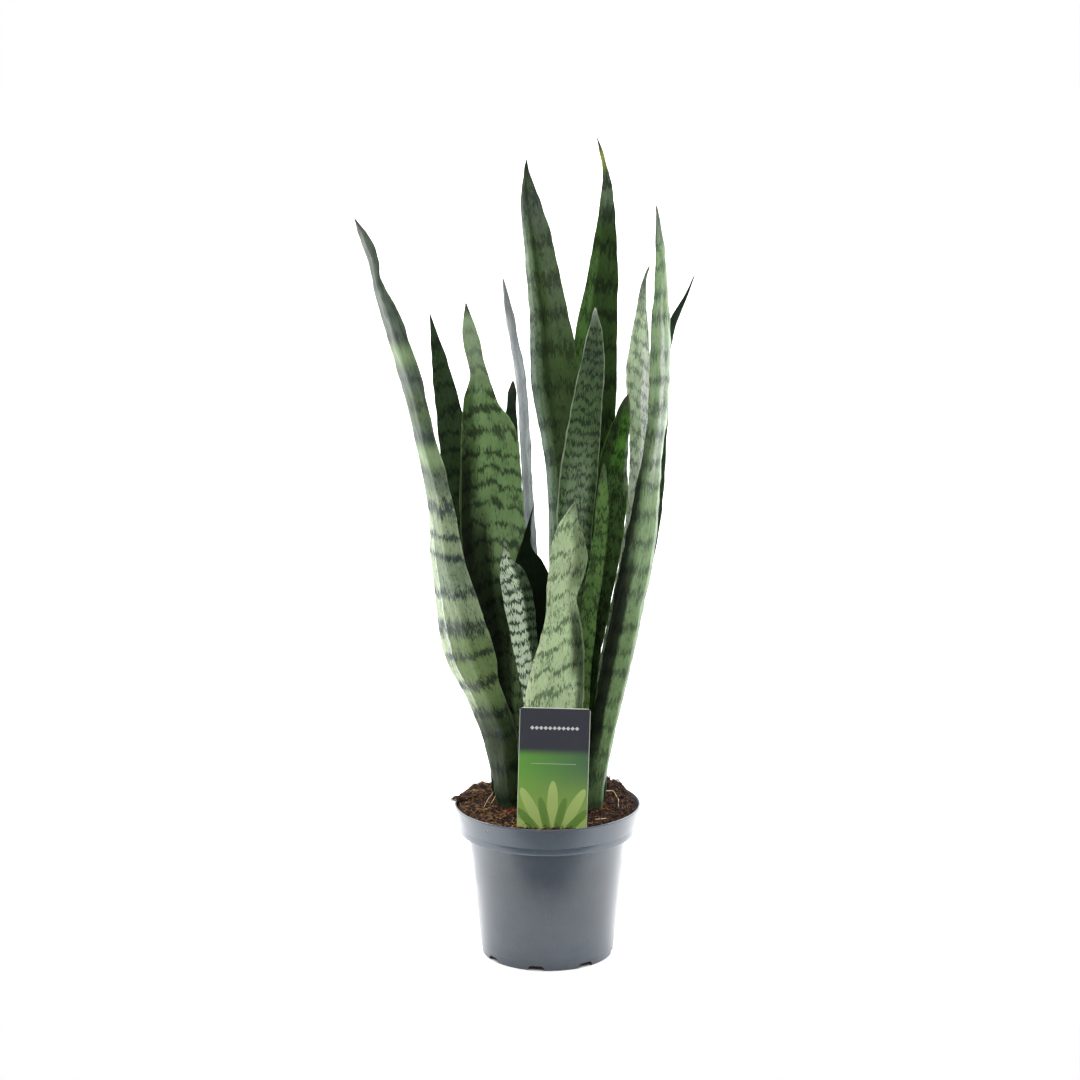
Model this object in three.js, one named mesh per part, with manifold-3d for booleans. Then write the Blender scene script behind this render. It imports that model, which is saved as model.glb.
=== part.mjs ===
// Potted Ceylon bowstring hemp: sixteen stiff, cross-banded leaves in three tufts, rising from a
// creeping rootstock in the growing mix of a tapered nursery pot, with a plain label at the front.
// Millimetres, +Z up. The origin is the middle of the pot's underside and the front is towards -Y.

import * as THREE from "three";
import { mergeVertices } from "three/addons/utils/BufferGeometryUtils.js";
import Module from "manifold-3d";

const wasm = await Module();
wasm.setup();

// Clearances: between touching pieces, on the faces of a blade in its hole, and round the label
const fitGap = 0.3;
const bladeFaceGap = 0.54;
const labelGap = 0.4;

// Pot: a 17 cm moulded nursery pot with a deep collar and eight drainage arches
const potHeight = 141.5;
const rimRadius = 85.5;
const rimRound = 0.5;
const collarFoot = 115.5;
const collarFootRadius = 81.6;
const collarRound = 2;
const collarLine = 7;
const wallTopRadius = 72.8;
const baseRadius = 60.8;
const footRound = 1.2;
const wallThickness = 1.8;
const floorThickness = 2.2;
const insideStep = 3.8;
const potSides = 48;
const archCount = 8;
const archWidth = 15;
const archHeight = 6.5;
const archDepth = 9;
const archOverrun = 4;
const archShoulder = 0.6;
const archCrown = 0.5;
const firstArchAngle = -100;

// Growing mix: its level, its slopes, and the waves that make its clods as
// [height, waves in x, waves in y, phase], the waves in radians a millimetre
const mixLevel = 136.5;
const mixHeap = 4;
const backLift = 3;
const leftLift = 3.5;
const frontSag = 11;
const clodFade = 0.5;
const mixRings = 9;
const clodWaves = [
  [0.75, 0.21, 0.19, 1],
  [0.75, 0.21, -0.19, 1],
  [1.1, 0.47, -0.33, 2],
  [0.8, 0.29, 0.61, 1.57],
];

// Leaves: thick and channelled at the root, thin at the margins, with a soft keel
const acrossColumns = 5;
const ringsPerRow = 1.4;
const slopeStep = 0.01;
const baseThickness = 5;
const baseShare = 0.25;
const bladeThickness = 2.6;
const marginThickness = 0.85;
const fullness = 0.2;
const keelSoftness = 0.3;
const holeOverrun = 20;

// Rootstock
const crownRadius = 8;
const stubRadius = 4;
const crownHeight = 76;
const limbSides = 6;

// Label
const labelWidth = 63;
const labelTop = 248;
const labelShoulder = 125;
const labelCorner = 2;
const shoulderDrop = 8;
const stakeWidth = 16;
const stakeTip = 80;
const stakePoint = 12;
const labelThickness = 0.9;
const labelPlace = new THREE.Vector3(3.2, -63, 0);
const labelRoll = 1.6;

const radians = THREE.MathUtils.degToRad;

function finish(color, roughness) {
  return new THREE.MeshStandardMaterial({ color, roughness, metalness: 0 });
}

// A closed geometry as a solid that can be joined and cut.
function toSolid(geometry) {
  const bare = geometry.clone();
  bare.deleteAttribute("normal");
  bare.deleteAttribute("uv");
  const merged = mergeVertices(bare, 1e-3);
  const corners = merged.index.array;
  const kept = [];
  for (let i = 0; i < corners.length; i += 3) {
    const [a, b, c] = corners.slice(i, i + 3);
    if (a !== b && b !== c && c !== a) kept.push(a, b, c);
  }
  return new wasm.Manifold(new wasm.Mesh({
    numProp: 3,
    vertProperties: new Float32Array(merged.attributes.position.array),
    triVerts: new Uint32Array(kept),
  }));
}

function toGeometry(solid) {
  const mesh = solid.getMesh();
  const geometry = new THREE.BufferGeometry();
  geometry.setAttribute("position", new THREE.BufferAttribute(mesh.vertProperties, 3));
  geometry.setIndex(new THREE.BufferAttribute(mesh.triVerts, 1));
  return geometry;
}

// A profile of [radius, height] points turned about the upright axis.
function turned(profile) {
  const points = profile.map(([radius, height]) => new THREE.Vector2(radius, height));
  return new THREE.LatheGeometry(points, potSides).rotateX(Math.PI / 2);
}

// Each outline row is [x, z, width] of a blade seen from the front, from the root to the tip.
// Each pose row, evenly spread along the leaf, is [y, facing, fold]: facing is the angle from +X
// that the hollow face looks to, and fold is how far each half is bent up from flat, in degrees.
// The crease is where the keel runs, from -1 at one margin to 1 at the other.
const leaves = [
  {
    name: "leaf_left_outer", color: 0x5f7a56, crease: -0.35,
    outline: [[-37, 106, 20], [-38, 142, 25], [-41, 183, 38], [-49, 222, 47], [-63, 253, 46],
      [-74, 279, 69], [-83, 310, 66], [-88, 340, 61], [-96, 377, 51], [-99, 424, 42], [-107, 459, 42],
      [-115, 495, 37], [-124, 535, 45], [-133, 566, 44], [-141, 593, 42], [-147, 611, 38],
      [-151, 627, 17], [-154, 645, 29], [-160, 663, 25], [-168, 682, 4]],
    pose: [[-18, 84, 40], [-24, 76, 36], [-32, 62, 32], [-38, 46, 26], [-42, 36, 20], [-44, 30, 16],
      [-46, 28, 10]],
  },
  {
    name: "leaf_left_back", color: 0x2c4630, crease: 0,
    outline: [[-42, 97, 18], [-42, 132, 18], [-47, 216, 25], [-57, 291, 34], [-69.5, 365, 35],
      [-79, 431, 31], [-86, 482, 27], [-93, 520, 21], [-99.5, 557, 11.5], [-106, 589, 2]],
    pose: [[10, 282, 38], [14, 280, 22], [18, 278, 16], [24, 276, 14], [28, 276, 12], [30, 280, 8]],
  },
  {
    name: "leaf_left_broad", color: 0x4d6e3f, crease: 0,
    outline: [[-33, 102, 18], [-34, 138, 18], [-35, 193, 24], [-37, 250, 38], [-41, 306, 55],
      [-46, 357, 63], [-51, 408, 61], [-52, 463, 55], [-53.5, 486, 54], [-60, 505, 36], [-60.5, 524, 28],
      [-61, 541, 14], [-68, 566, 17], [-71, 588, 9.5], [-73, 604, 2]],
    pose: [[-4, 272, 38], [-6, 272, 26], [-8, 276, 18], [-8, 280, 14], [-6, 276, 12], [-4, 262, 12],
      [0, 262, 8]],
  },
  {
    name: "leaf_left_slim", color: 0x8b9396, crease: 0,
    outline: [[-1, 100, 14], [0, 135, 15], [-5, 218, 19], [-12, 293, 31], [-18, 375, 38],
      [-22, 434, 40], [-24, 482, 42], [-27, 532, 43], [-34, 572, 37], [-37.5, 599, 29], [-40, 622, 5]],
    pose: [[2, 25, 38], [6, 16, 26], [10, 12, 18], [14, 12, 14], [18, 16, 8]],
  },
  {
    name: "leaf_left_short", color: 0x27362b, crease: 0,
    outline: [[-27, 94, 14], [-27, 129, 14], [-29, 214, 17], [-33, 308, 20], [-34, 401, 19],
      [-33.5, 465, 17], [-33, 502, 10], [-32.5, 516, 8], [-31.5, 527, 4]],
    pose: [[20, 275, 38], [24, 275, 22], [28, 275, 16], [34, 275, 10]],
  },
  {
    name: "leaf_middle_spike", color: 0x22331f, crease: 0,
    outline: [[0, 107, 17], [0, 142, 17], [-4, 206, 27], [-10, 262, 36], [-14, 318, 40], [-15, 354, 35],
      [-18, 371, 27], [-20, 382, 12], [-18, 396, 6], [-16, 409, 2.5], [-12, 424, 1.5]],
    pose: [[-20, 280, 38], [-17, 280, 18], [-14, 276, 16], [-12, 272, 10]],
  },
  {
    name: "leaf_middle_young", color: 0x7f9a78, crease: 0,
    outline: [[-6, 111, 16], [-6, 146, 18], [-8, 201, 22], [-11, 245, 23], [-18, 290, 24],
      [-23, 324, 28], [-27, 350, 29], [-32, 364, 24], [-37, 375, 12], [-37, 386, 5], [-40, 399, 1.5]],
    pose: [[-32, 98, 38], [-34, 98, 26], [-36, 104, 20], [-38, 110, 10]],
  },
  {
    name: "leaf_back_broad", color: 0x3f5a3c, crease: -0.1,
    outline: [[21, 100, 18], [21, 135, 18], [20, 199, 29], [18, 274, 37], [18.5, 349, 43],
      [18.5, 420, 43], [15, 468, 44], [8.5, 507, 47], [4, 546, 47], [1, 585, 38], [-4.5, 620, 33],
      [-9.5, 656, 28], [-15.5, 686, 21.5], [-17.5, 703, 13], [-19, 716, 5], [-19, 728, 1.5]],
    pose: [[2, 76, 40], [9, 76, 27], [15, 76, 18], [19, 76, 16], [21, 76, 16], [22, 78, 12]],
  },
  {
    name: "leaf_back_tallest", color: 0x2c4a22, crease: 0,
    outline: [[34, 95, 16], [34, 130, 16], [34, 214, 25], [35, 289, 32], [35, 364, 39], [37, 438, 44],
      [39, 495, 46], [41, 549, 44], [46, 597, 35], [50, 632, 27], [52, 665, 19], [53, 697, 11],
      [51.5, 715, 6], [48.5, 730, 3.6], [42.5, 750, 1.8]],
    pose: [[16, 272, 38], [26, 276, 22], [32, 278, 16], [38, 276, 14], [42, 270, 8]],
  },
  {
    name: "leaf_middle_striped", color: 0x566f4c, crease: 0,
    outline: [[17, 105, 16], [16, 140, 17], [17, 204, 23], [19, 260, 28], [22, 316, 31], [24, 384, 33],
      [27, 437, 37], [32, 478, 33], [36, 517, 28], [40, 547, 23], [42, 570, 16], [42, 586, 9],
      [42, 598, 1.5]],
    pose: [[-14, 96, 38], [-10, 98, 22], [-6, 100, 16], [-4, 98, 14], [-2, 96, 8]],
  },
  {
    name: "leaf_right_inner", color: 0x41691f, crease: 0.3,
    outline: [[35, 100, 15], [35, 135, 16], [36, 200, 18], [37, 263, 20], [42, 303, 25], [51, 365, 33],
      [56, 407, 35], [59, 432, 34], [60, 459, 28], [67, 492, 18], [69, 506, 10], [72, 519, 1.5]],
    pose: [[0, 262, 38], [6, 256, 26], [9, 250, 24], [12, 248, 22], [13, 252, 10]],
  },
  {
    name: "leaf_right_pale", color: 0x9db08e, crease: 0,
    outline: [[46, 99, 16], [46, 134, 16], [49, 198, 20], [56, 262, 24], [69, 329, 23], [78, 384, 22],
      [83, 439, 22], [84.5, 485, 27], [83.5, 530, 33], [84.5, 562, 28], [85, 594, 13], [86, 617, 5.5],
      [91, 633, 2]],
    pose: [[4, 235, 38], [12, 228, 26], [18, 222, 20], [22, 222, 16], [26, 224, 8]],
  },
  {
    name: "leaf_front_pale", color: 0x7c9767, crease: 0.1,
    outline: [[1, 113, 17], [1, 148, 20], [4, 194, 40], [5, 231, 55], [7, 259, 56], [12, 297, 43],
      [13, 324, 33], [12, 343, 27], [15, 360, 33], [19, 378, 38], [19, 396, 30], [19, 409, 21],
      [22, 421, 8.5], [24, 431, 1.5]],
    pose: [[-40, 92, 36], [-42, 92, 20], [-42, 88, 18], [-42, 96, 20], [-44, 96, 10]],
  },
  {
    name: "leaf_right_outer", color: 0x7d9474, crease: -0.1,
    outline: [[47, 106, 20], [47, 142, 23], [50, 178, 28], [59, 224, 38], [68, 265, 49], [77, 309, 51],
      [87, 357, 58], [94, 401, 57], [96, 447, 43], [101, 490, 36], [104.5, 528, 42], [104.5, 564, 42],
      [102.5, 594, 34], [101.5, 630, 23], [99, 661, 16], [97, 676, 12], [95, 690, 4]],
    pose: [[-18, 130, 40], [-20, 140, 34], [-22, 150, 28], [-24, 152, 20], [-22, 158, 10]],
  },
  {
    name: "leaf_right_hindmost", color: 0x2e4726, crease: 0,
    outline: [[48, 95, 14], [48, 130, 14], [52, 195, 15], [62, 252, 19], [78, 327, 21], [90, 377, 23],
      [96, 419, 21], [100, 474, 19], [103, 520, 15], [106, 556, 9], [114, 585, 8.5], [124, 603, 4],
      [132, 624, 1.5]],
    pose: [[19, 250, 38], [23, 250, 22], [27, 250, 18], [32, 246, 14], [36, 240, 8]],
  },
  {
    name: "leaf_right_short", color: 0x4c6d3a, crease: 0,
    outline: [[27, 107, 16], [27, 142, 17], [27, 206, 20], [30, 262, 20], [36, 317, 17], [43, 360, 15],
      [48, 399, 14], [49, 431, 11], [50, 448, 5.5], [50, 459, 1.5]],
    pose: [[-20, 265, 38], [-16, 262, 24], [-12, 258, 18], [-8, 258, 10]],
  },
];

// The run of a list of rows as a smooth curve, read from 0 at the root to 1 at the tip.
function run(rows) {
  const points = rows.map((row) => new THREE.Vector3(...row));
  return new THREE.CatmullRomCurve3(points, false, "catmullrom", 0.5);
}

// One blade: sections of five columns on each face, joined from the root to a small blunt tip.
// With clearances it is the plain hole in the mix that the same leaf stands in, up to stopHeight.
const noClearance = { margin: 0, face: 0 };
const holeClearance = { margin: fitGap, face: bladeFaceGap };

function bladeGeometry(leaf, clearance = noClearance, stopHeight = Infinity) {
  const outline = run(leaf.outline);
  const pose = run(leaf.pose);
  const steps = Math.round(leaf.outline.length * ringsPerRow);
  const middle = (t) => {
    const at = outline.getPoint(t);
    return new THREE.Vector3(at.x, pose.getPoint(t).x, at.y);
  };
  const columns = [-1, (leaf.crease - 1) / 2, leaf.crease, (leaf.crease + 1) / 2, 1];
  const corners = [];
  let rings = 0;
  for (let step = 0; step <= steps; step++) {
    const t = step / steps;
    const centre = middle(t);
    const before = middle(Math.max(t - slopeStep, 0));
    const along = middle(Math.min(t + slopeStep, 1)).sub(before).normalize();
    if (step === 0) {
      along.set(0, 0, 1);
      centre.z -= clearance.margin;
    }
    const { y: facing, z: fold } = pose.getPoint(t);
    const look = new THREE.Vector3(Math.cos(radians(facing)), Math.sin(radians(facing)), 0);
    const across = new THREE.Vector3().crossVectors(along, look).normalize();
    const inward = new THREE.Vector3().crossVectors(across, along);
    const half = outline.getPoint(t).z / 2;
    const body = THREE.MathUtils.lerp(baseThickness, bladeThickness, Math.min(1, t / baseShare));
    const thick = Math.min(body, marginThickness + half * fullness);
    for (const side of [1, -1]) {
      for (let i = 0; i < acrossColumns; i++) {
        const u = side > 0 ? columns[i] : columns[acrossColumns - 1 - i];
        const fromCrease = (u - leaf.crease) / (1 + Math.abs(leaf.crease));
        const swell = THREE.MathUtils.lerp(thick, Math.min(thick, marginThickness), fromCrease ** 2);
        const rise = Math.hypot(u - leaf.crease, keelSoftness) - keelSoftness;
        const marginGap = Math.abs(u) === 1 ? clearance.margin * u : 0;
        const spread = half * Math.cos(radians(fold)) * u + marginGap;
        const lift = half * Math.sin(radians(fold)) * rise;
        corners.push(centre.clone()
          .addScaledVector(across, spread)
          .addScaledVector(inward, lift + side * (swell / 2 + clearance.face)));
      }
    }
    rings++;
    if (centre.z > stopHeight) break;
  }
  return stitched(corners, acrossColumns * 2, rings);
}

// Skin over rings of corners, with both faces of the blade split along the same diagonals.
function stitched(corners, around, rings) {
  const index = [];
  const half = around / 2;
  for (let ring = 0; ring < rings - 1; ring++) {
    for (let i = 0; i < around; i++) {
      const a = ring * around + i;
      const b = ring * around + (i + 1) % around;
      const c = b + around;
      const d = a + around;
      if (i < half) index.push(a, b, c, a, c, d);
      else index.push(a, b, d, b, c, d);
    }
  }
  for (let i = 0; i < half - 1; i++) {
    const root = [i, i + 1, around - 2 - i, around - 1 - i];
    const tip = root.map((corner) => corner + (rings - 1) * around);
    index.push(root[1], root[0], root[3], root[1], root[3], root[2]);
    index.push(tip[0], tip[1], tip[2], tip[0], tip[2], tip[3]);
  }
  const geometry = new THREE.BufferGeometry();
  const flat = corners.flatMap((corner) => corner.toArray());
  geometry.setAttribute("position", new THREE.Float32BufferAttribute(flat, 3));
  geometry.setIndex(index);
  return geometry;
}

// Drainage arch: a round-topped block that notches the foot of the wall and the edge of the floor.
function archSolid(angle) {
  const outline = new THREE.Shape()
    .moveTo(-archWidth / 2, -1)
    .lineTo(archWidth / 2, -1)
    .lineTo(archWidth / 2, archHeight * archShoulder)
    .quadraticCurveTo(archWidth / 2, archHeight, archWidth / 2 * archCrown, archHeight)
    .lineTo(-archWidth / 2 * archCrown, archHeight)
    .quadraticCurveTo(-archWidth / 2, archHeight, -archWidth / 2, archHeight * archShoulder);
  const depth = archDepth + archOverrun;
  const block = new THREE.ExtrudeGeometry(outline, { depth, bevelEnabled: false, curveSegments: 2 })
    .rotateX(Math.PI / 2)
    .rotateZ(Math.PI / 2)
    .translate(baseRadius - archDepth, 0, 0)
    .rotateZ(radians(angle));
  return toSolid(block);
}

// Inside of the pot, [radius, height] from the floor up to the rim: the tapered wall, the step under
// the collar and the collar itself.
const wallLean = (wallTopRadius - baseRadius) / collarFoot;
const inside = [
  [baseRadius + wallLean * floorThickness - wallThickness, floorThickness],
  [wallTopRadius - wallThickness, collarFoot + floorThickness],
  [collarFootRadius - wallThickness, collarFoot + floorThickness + insideStep],
  [rimRadius - wallThickness, potHeight - rimRound],
];

function insideRadius(height) {
  const above = Math.max(1, inside.findIndex(([, level]) => level >= height));
  const [[lowRadius, low], [highRadius, high]] = [inside[above - 1], inside[above]];
  return THREE.MathUtils.mapLinear(height, low, high, lowRadius, highRadius);
}

function potGeometry() {
  let pot = toSolid(turned([
    [0, 0],
    [baseRadius - footRound, 0],
    [baseRadius, footRound],
    [wallTopRadius, collarFoot],
    [collarFootRadius - rimRound - collarRound, collarFoot],
    [collarFootRadius - rimRound, collarFoot + collarRound],
    [collarFootRadius, collarFoot + collarLine],
    [rimRadius, potHeight - 2 * rimRound],
    [rimRadius - rimRound, potHeight],
    [rimRadius - wallThickness + rimRound, potHeight],
    ...inside.toReversed(),
    [0, floorThickness],
  ]));
  for (let i = 0; i < archCount; i++) {
    pot = pot.subtract(archSolid(firstArchAngle + i * 360 / archCount));
  }
  return toGeometry(pot);
}

// Height of the mix: mounded round the tufts, washed down behind the front of the rim, and crumbly.
function mixHeight(x, y) {
  const out = Math.hypot(x, y) / rimRadius;
  const front = Math.max(0, -y / rimRadius);
  const heap = mixHeap * (1 - out ** 2) + backLift * Math.max(0, y / rimRadius);
  const side = leftLift * Math.max(0, -x / rimRadius);
  const sag = frontSag * front ** 2 * out ** 3;
  let clods = 0;
  for (const [rise, inX, inY, phase] of clodWaves) clods += rise * Math.sin(x * inX + y * inY + phase);
  return mixLevel + heap + side - sag + clods * (1 - clodFade * out);
}

// The label is a card on a narrow stake that is pushed into the mix.
function labelOutline(clearance) {
  const half = labelWidth / 2 + clearance;
  const stake = stakeWidth / 2 + clearance;
  return new THREE.Shape()
    .moveTo(0, stakeTip - 2 * clearance)
    .lineTo(stake, stakeTip + stakePoint)
    .lineTo(stake, labelShoulder - shoulderDrop - clearance)
    .lineTo(half, labelShoulder - clearance)
    .lineTo(half, labelTop - labelCorner)
    .lineTo(half - labelCorner, labelTop)
    .lineTo(labelCorner - half, labelTop)
    .lineTo(-half, labelTop - labelCorner)
    .lineTo(-half, labelShoulder - clearance)
    .lineTo(-stake, labelShoulder - shoulderDrop - clearance)
    .lineTo(-stake, stakeTip + stakePoint);
}

function labelGeometry(clearance = 0) {
  const depth = labelThickness + 2 * clearance;
  return new THREE.ExtrudeGeometry(labelOutline(clearance), { depth, bevelEnabled: false })
    .translate(0, 0, -depth / 2)
    .rotateX(Math.PI / 2)
    .translate(0, 0, -labelShoulder)
    .rotateY(radians(labelRoll))
    .translate(0, 0, labelShoulder)
    .translate(...labelPlace.toArray());
}

// Rootstock: a creeping underground stem with a stub rising to the foot of every leaf.
const tufts = [
  { at: new THREE.Vector3(-35, 0, 0), leaves: ["left_outer", "left_back", "left_broad", "left_short"] },
  { at: new THREE.Vector3(4, -18, 0), leaves: ["front_pale", "middle_young", "middle_spike", "left_slim",
    "middle_striped", "back_broad"] },
  { at: new THREE.Vector3(42, -2, 0), leaves: ["right_short", "right_outer", "right_inner", "right_pale",
    "back_tallest", "right_hindmost"] },
];

// A straight root of few sides. Grown, it is the hole that the mix leaves round the same root.
function limb(from, to, radius, grow, overrun = 0) {
  const along = to.clone().sub(from).normalize().multiplyScalar(grow + overrun);
  const path = new THREE.LineCurve3(from.clone().sub(along), to.clone().add(along));
  const section = new THREE.Shape();
  for (let i = 0; i < limbSides; i++) {
    const angle = (i + 0.5) / limbSides * 2 * Math.PI;
    const point = [(radius + grow) * Math.cos(angle), (radius + grow) * Math.sin(angle)];
    if (i === 0) section.moveTo(...point);
    else section.lineTo(...point);
  }
  return toSolid(new THREE.ExtrudeGeometry(section, { steps: 1, extrudePath: path, bevelEnabled: false }));
}

function rootstockSolid(grow = 0) {
  const crowns = tufts.map((tuft) => tuft.at.clone().setZ(crownHeight));
  const [left, middle, right] = crowns;
  let stock = limb(middle, left, crownRadius, grow).add(limb(middle, right, crownRadius, grow));
  tufts.forEach((tuft, i) => {
    for (const name of tuft.leaves) {
      const leaf = leaves.find((entry) => entry.name === `leaf_${name}`);
      const [x, z] = leaf.outline[0];
      const foot = new THREE.Vector3(x, leaf.pose[0][0], z - fitGap);
      const stub = limb(crowns[i], foot, stubRadius, grow, stubRadius);
      stock = stock.add(stub.trimByPlane([0, 0, -1], -foot.z - grow));
    }
  });
  return stock;
}

// The mix fills the pot up to its uneven surface and is left open round the label, the rootstock
// and every leaf. Crumbs that these cut loose are dropped.
function mixGeometry() {
  const edge = insideRadius(mixLevel) - fitGap;
  const profile = inside.slice(0, 3).map(([radius, height]) => [radius - fitGap, height + fitGap]);
  profile.unshift([0, floorThickness + fitGap]);
  for (let ring = mixRings; ring >= 0; ring--) profile.push([edge * ring / mixRings, mixLevel]);
  const body = turned(profile);
  const place = body.attributes.position;
  for (let i = 0; i < place.count; i++) {
    if (place.getZ(i) < mixLevel) continue;
    const [x, y] = [place.getX(i), place.getY(i)];
    const out = Math.hypot(x, y) || 1;
    const height = mixHeight(x, y);
    const edgeHeight = mixHeight(x * edge / out, y * edge / out);
    const shrink = (insideRadius(edgeHeight) - fitGap) / edge;
    place.setXYZ(i, x * shrink, y * shrink, height);
  }
  let mix = toSolid(body).subtract(toSolid(labelGeometry(labelGap))).subtract(rootstockSolid(fitGap));
  for (const leaf of leaves) {
    mix = mix.subtract(toSolid(bladeGeometry(leaf, holeClearance, mixLevel + holeOverrun)));
  }
  const pieces = mix.decompose().sort((a, b) => b.volume() - a.volume());
  return toGeometry(pieces[0]);
}

const plant = new THREE.Group();

function addPiece(name, geometry, material) {
  const piece = new THREE.Mesh(geometry, material);
  piece.name = name;
  plant.add(piece);
}

addPiece("pot", potGeometry(), finish(0x6b7882, 0.55));
addPiece("growing_mix", mixGeometry(), finish(0x3a2318, 0.95));
addPiece("rootstock", toGeometry(rootstockSolid()), finish(0xc2763a, 0.7));
addPiece("label", labelGeometry(), finish(0x5d8a35, 0.35));
for (const leaf of leaves) addPiece(leaf.name, bladeGeometry(leaf), finish(leaf.color, 0.45));

export default plant;
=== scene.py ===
# Potted Ceylon bowstring hemp in a grey nursery pot, in metres, +Z up. The pot stands on the floor
# at the origin, with the label towards -Y. Nothing moves, so every piece rides on the body "root".

import math
import random

import bmesh
import bpy
from mathutils import Matrix, Vector, noise
from mathutils.bvhtree import BVHTree


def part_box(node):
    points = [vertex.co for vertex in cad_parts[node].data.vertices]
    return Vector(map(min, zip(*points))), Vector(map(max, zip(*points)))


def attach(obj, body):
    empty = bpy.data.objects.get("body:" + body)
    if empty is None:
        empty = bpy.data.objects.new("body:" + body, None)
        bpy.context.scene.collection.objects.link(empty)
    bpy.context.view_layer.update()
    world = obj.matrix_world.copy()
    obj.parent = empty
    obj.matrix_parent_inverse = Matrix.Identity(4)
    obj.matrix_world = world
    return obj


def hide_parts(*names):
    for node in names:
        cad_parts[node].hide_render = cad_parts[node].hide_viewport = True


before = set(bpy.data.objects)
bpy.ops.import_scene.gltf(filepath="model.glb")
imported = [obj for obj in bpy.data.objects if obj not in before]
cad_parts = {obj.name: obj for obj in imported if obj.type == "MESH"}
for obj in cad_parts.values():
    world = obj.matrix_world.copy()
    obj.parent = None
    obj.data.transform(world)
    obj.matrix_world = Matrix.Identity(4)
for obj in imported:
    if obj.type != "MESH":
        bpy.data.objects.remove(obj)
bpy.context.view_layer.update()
chance = random.Random(27)

# Nursery pot: injection-moulded polypropylene with a deep collar, a faint line above the collar's
# foot and eight drainage arches. The wall is one turned profile, the arches are cut out of it and
# the corners are eased.

pot_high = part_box("pot")[1]
rim_radius = pot_high.x
pot_height = pot_high.z
collar_foot = 0.1155
collar_foot_radius = 0.0816
collar_line = 0.007
wall_top_radius = 0.0728
wall_thickness = 0.0018
ledge_rise = 0.006
foot_radius = 0.0608
foot_chamfer = 0.0012
foot_line = 0.0085
line_step = 0.00025
gate_radius = 0.004
gate_step = 0.0005
gate_depth = 0.0004
floor_thickness = 0.0022
pot_sides = 256
pot_easing = 0.00035
arch_count = 8
arch_size = (0.013, 0.0145, 0.0092)
arch_depth = 0.009
arch_round = 0.0033
first_arch = math.radians(-100)
touching = 1e-6
# How far in and up from the collar's foot its corner runs, and how far in and down from the rim.
collar_corner = ((0.0021, 0), (0.0009, 0.0006), (0.0004, 0.0021))
rim_corners = ((0, 0.001), (0.0004, 0), (0.0014, 0), (0.0018, 0.0006))


def turned(mesh, profile, sides):
    """Spins a profile of (radius, height) points about the pot's axis into a closed skin."""
    corners = [mesh.verts.new((radius, 0, height)) for radius, height in profile]
    edges = [mesh.edges.new(pair) for pair in zip(corners, corners[1:])]
    bmesh.ops.spin(mesh, geom=corners + edges, cent=(0, 0, 0), axis=(0, 0, 1), angle=math.tau,
                   steps=sides, use_merge=True)
    bmesh.ops.remove_doubles(mesh, verts=mesh.verts, dist=touching)
    bmesh.ops.recalc_face_normals(mesh, faces=mesh.faces)


def in_scene(name, data):
    """Puts a light, a camera or the mesh of a bmesh into the scene."""
    if isinstance(data, bmesh.types.BMesh):
        mesh, data = data, bpy.data.meshes.new(name)
        mesh.to_mesh(data)
        mesh.free()
    holder = bpy.data.objects.new(name, data)
    bpy.context.scene.collection.objects.link(holder)
    return holder


def finished(name, mesh, material, replaced=None):
    """Turns a bmesh into a smooth-shaded piece of the object, and hides the solid that it replaces."""
    for face in mesh.faces:
        face.smooth = True
    piece = in_scene(name, mesh)
    piece.data.materials.append(material)
    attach(piece, "root")
    if replaced:
        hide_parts(replaced)
    return piece


def settle(thing, **settings):
    for name, value in settings.items():
        setattr(thing, name, value)
    return thing


def ease_edges(piece, width, least_angle):
    """Rounds the edges that turn by more than an angle in degrees, and shades them crisply."""
    settle(piece.modifiers.new("eased edges", "BEVEL"), width=width, segments=2,
           limit_method="ANGLE", angle_limit=math.radians(least_angle))
    piece.data.set_sharp_from_angle(angle=math.radians(30))


def paint(digits):
    """A colour of six hex digits, as the linear values that a socket takes."""
    shares = [int(digits[i:i + 2], 16) / 255 for i in (0, 2, 4)]
    return [*(s / 12.92 if s <= 0.04045 else ((s + 0.055) / 1.055) ** 2.4 for s in shares), 1]


def feed(tree, node, inputs):
    """Gives inputs of a node a value, a colour of six hex digits, or the socket that feeds them."""
    for name, value in inputs.items():
        if isinstance(value, bpy.types.NodeSocket):
            tree.links.new(value, node.inputs[name])
        else:
            node.inputs[name].default_value = paint(value) if isinstance(value, str) else value


def put(tree, kind, inputs=None, **settings):
    """Adds a node with its settings and its inputs, and returns its outputs."""
    node = settle(tree.nodes.new("ShaderNode" + kind), **settings)
    feed(tree, node, inputs or {})
    return node.outputs


def axes(tree, vector):
    return put(tree, "SeparateXYZ", {0: vector})


def calc(tree, operation, *values):
    return put(tree, "Math", dict(enumerate(values)), operation=operation)[0]


def summed(tree, total, *parts):
    """Adds parts to a total. A part is a socket and its weight."""
    for value, weight in parts:
        total = calc(tree, "MULTIPLY_ADD", value, weight, total)
    return total


def mixed(tree, share, first, second):
    """The first colour where share is 0, and the second where it is 1."""
    return put(tree, "Mix", {0: share, 6: first, 7: second}, data_type="RGBA")[2]


def tinted(tree, colour, *layers):
    """Lays layers on a colour. A layer is where it lies, from 0 to 1, its strength and its tint."""
    for share, strength, tint in layers:
        colour = mixed(tree, calc(tree, "MULTIPLY", share, strength), colour, tint)
    return colour


def eased(tree, value, low, high):
    """0 below low and 1 above high, with a soft change between."""
    return put(tree, "MapRange", {0: value, 1: low, 2: high}, interpolation_type="SMOOTHSTEP")[0]


def faded(tree, value, low, high):
    """1 below low and 0 above high."""
    return calc(tree, "SUBTRACT", 1.0, eased(tree, value, low, high))


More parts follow.
